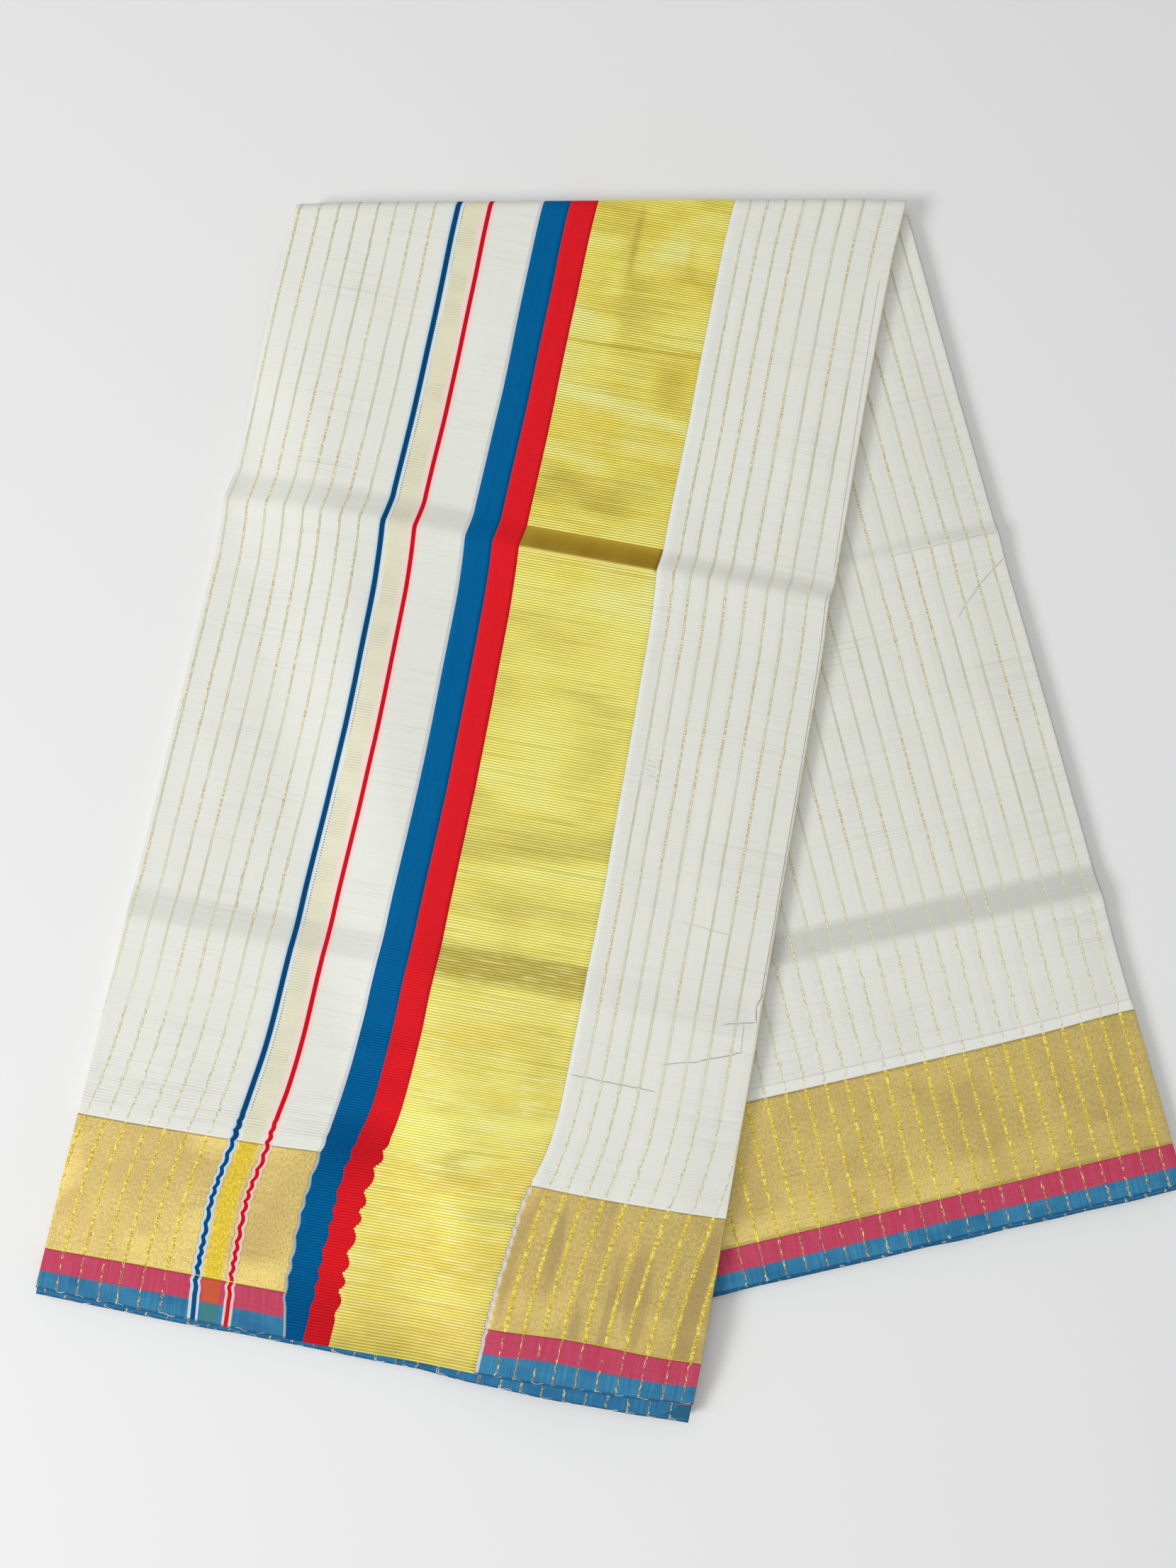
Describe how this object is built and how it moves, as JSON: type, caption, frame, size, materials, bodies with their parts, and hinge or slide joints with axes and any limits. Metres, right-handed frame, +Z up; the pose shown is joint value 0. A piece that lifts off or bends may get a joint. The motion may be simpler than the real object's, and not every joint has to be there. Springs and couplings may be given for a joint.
{
  "type": "folded saree",
  "caption": "Cotton saree with a gold, pink and blue border, pleated lengthwise into a flat pack and laid down folded once at a slant, its end piece's bands on top.",
  "frame": {"origin": "centre of the bounding box's underside, on the surface the saree lies on", "axes": "+X along the fold to the right as pictured, +Y towards the fold, +Z up from the surface"},
  "size_m": [0.5304, 0.5975, 0.0181],
  "materials": {
    "inner_layers": "matt cotton in stacked layers",
    "front_field_left": "plain cotton with fine gold stripes",
    "front_field_right": "plain cotton with fine gold stripes",
    "front_gold_border_left": "glittering gold thread weave",
    "front_gold_border_right": "glittering gold thread weave",
    "front_pink_stripe_left": "matt dyed weave",
    "front_pink_stripe_right": "matt dyed weave",
    "front_blue_selvedge_left": "thin dyed weave",
    "front_blue_selvedge_right": "thin dyed weave",
    "end_piece_blue_band": "ribbed dyed weave",
    "end_piece_red_band": "ribbed dyed weave",
    "end_piece_tissue_band": "shiny ribbed gold tissue",
    "back_field": "plain cotton with fine gold stripes",
    "back_gold_border": "glittering gold thread weave",
    "back_pink_stripe": "matt dyed weave",
    "back_blue_selvedge": "thin dyed weave",
    "under_face": "plain cotton"
  },
  "bodies": {
    "root": {"hidden_layers": "inner_layers", "front_field_left": "front_field_left", "front_field_right": "front_field_right", "front_gold_border_left": "front_gold_border_left", "front_gold_border_right": "front_gold_border_right", "front_pink_stripe_left": "front_pink_stripe_left", "front_pink_stripe_right": "front_pink_stripe_right", "front_blue_selvedge_left": "front_blue_selvedge_left", "front_blue_selvedge_right": "front_blue_selvedge_right", "end_piece_blue_band": "end_piece_blue_band", "end_piece_red_band": "end_piece_red_band", "end_piece_tissue_band": "end_piece_tissue_band", "back_field": "back_field", "back_gold_border": "back_gold_border", "back_pink_stripe": "back_pink_stripe", "back_blue_selvedge": "back_blue_selvedge", "under_face": "under_face"}
  },
  "joints": []
}
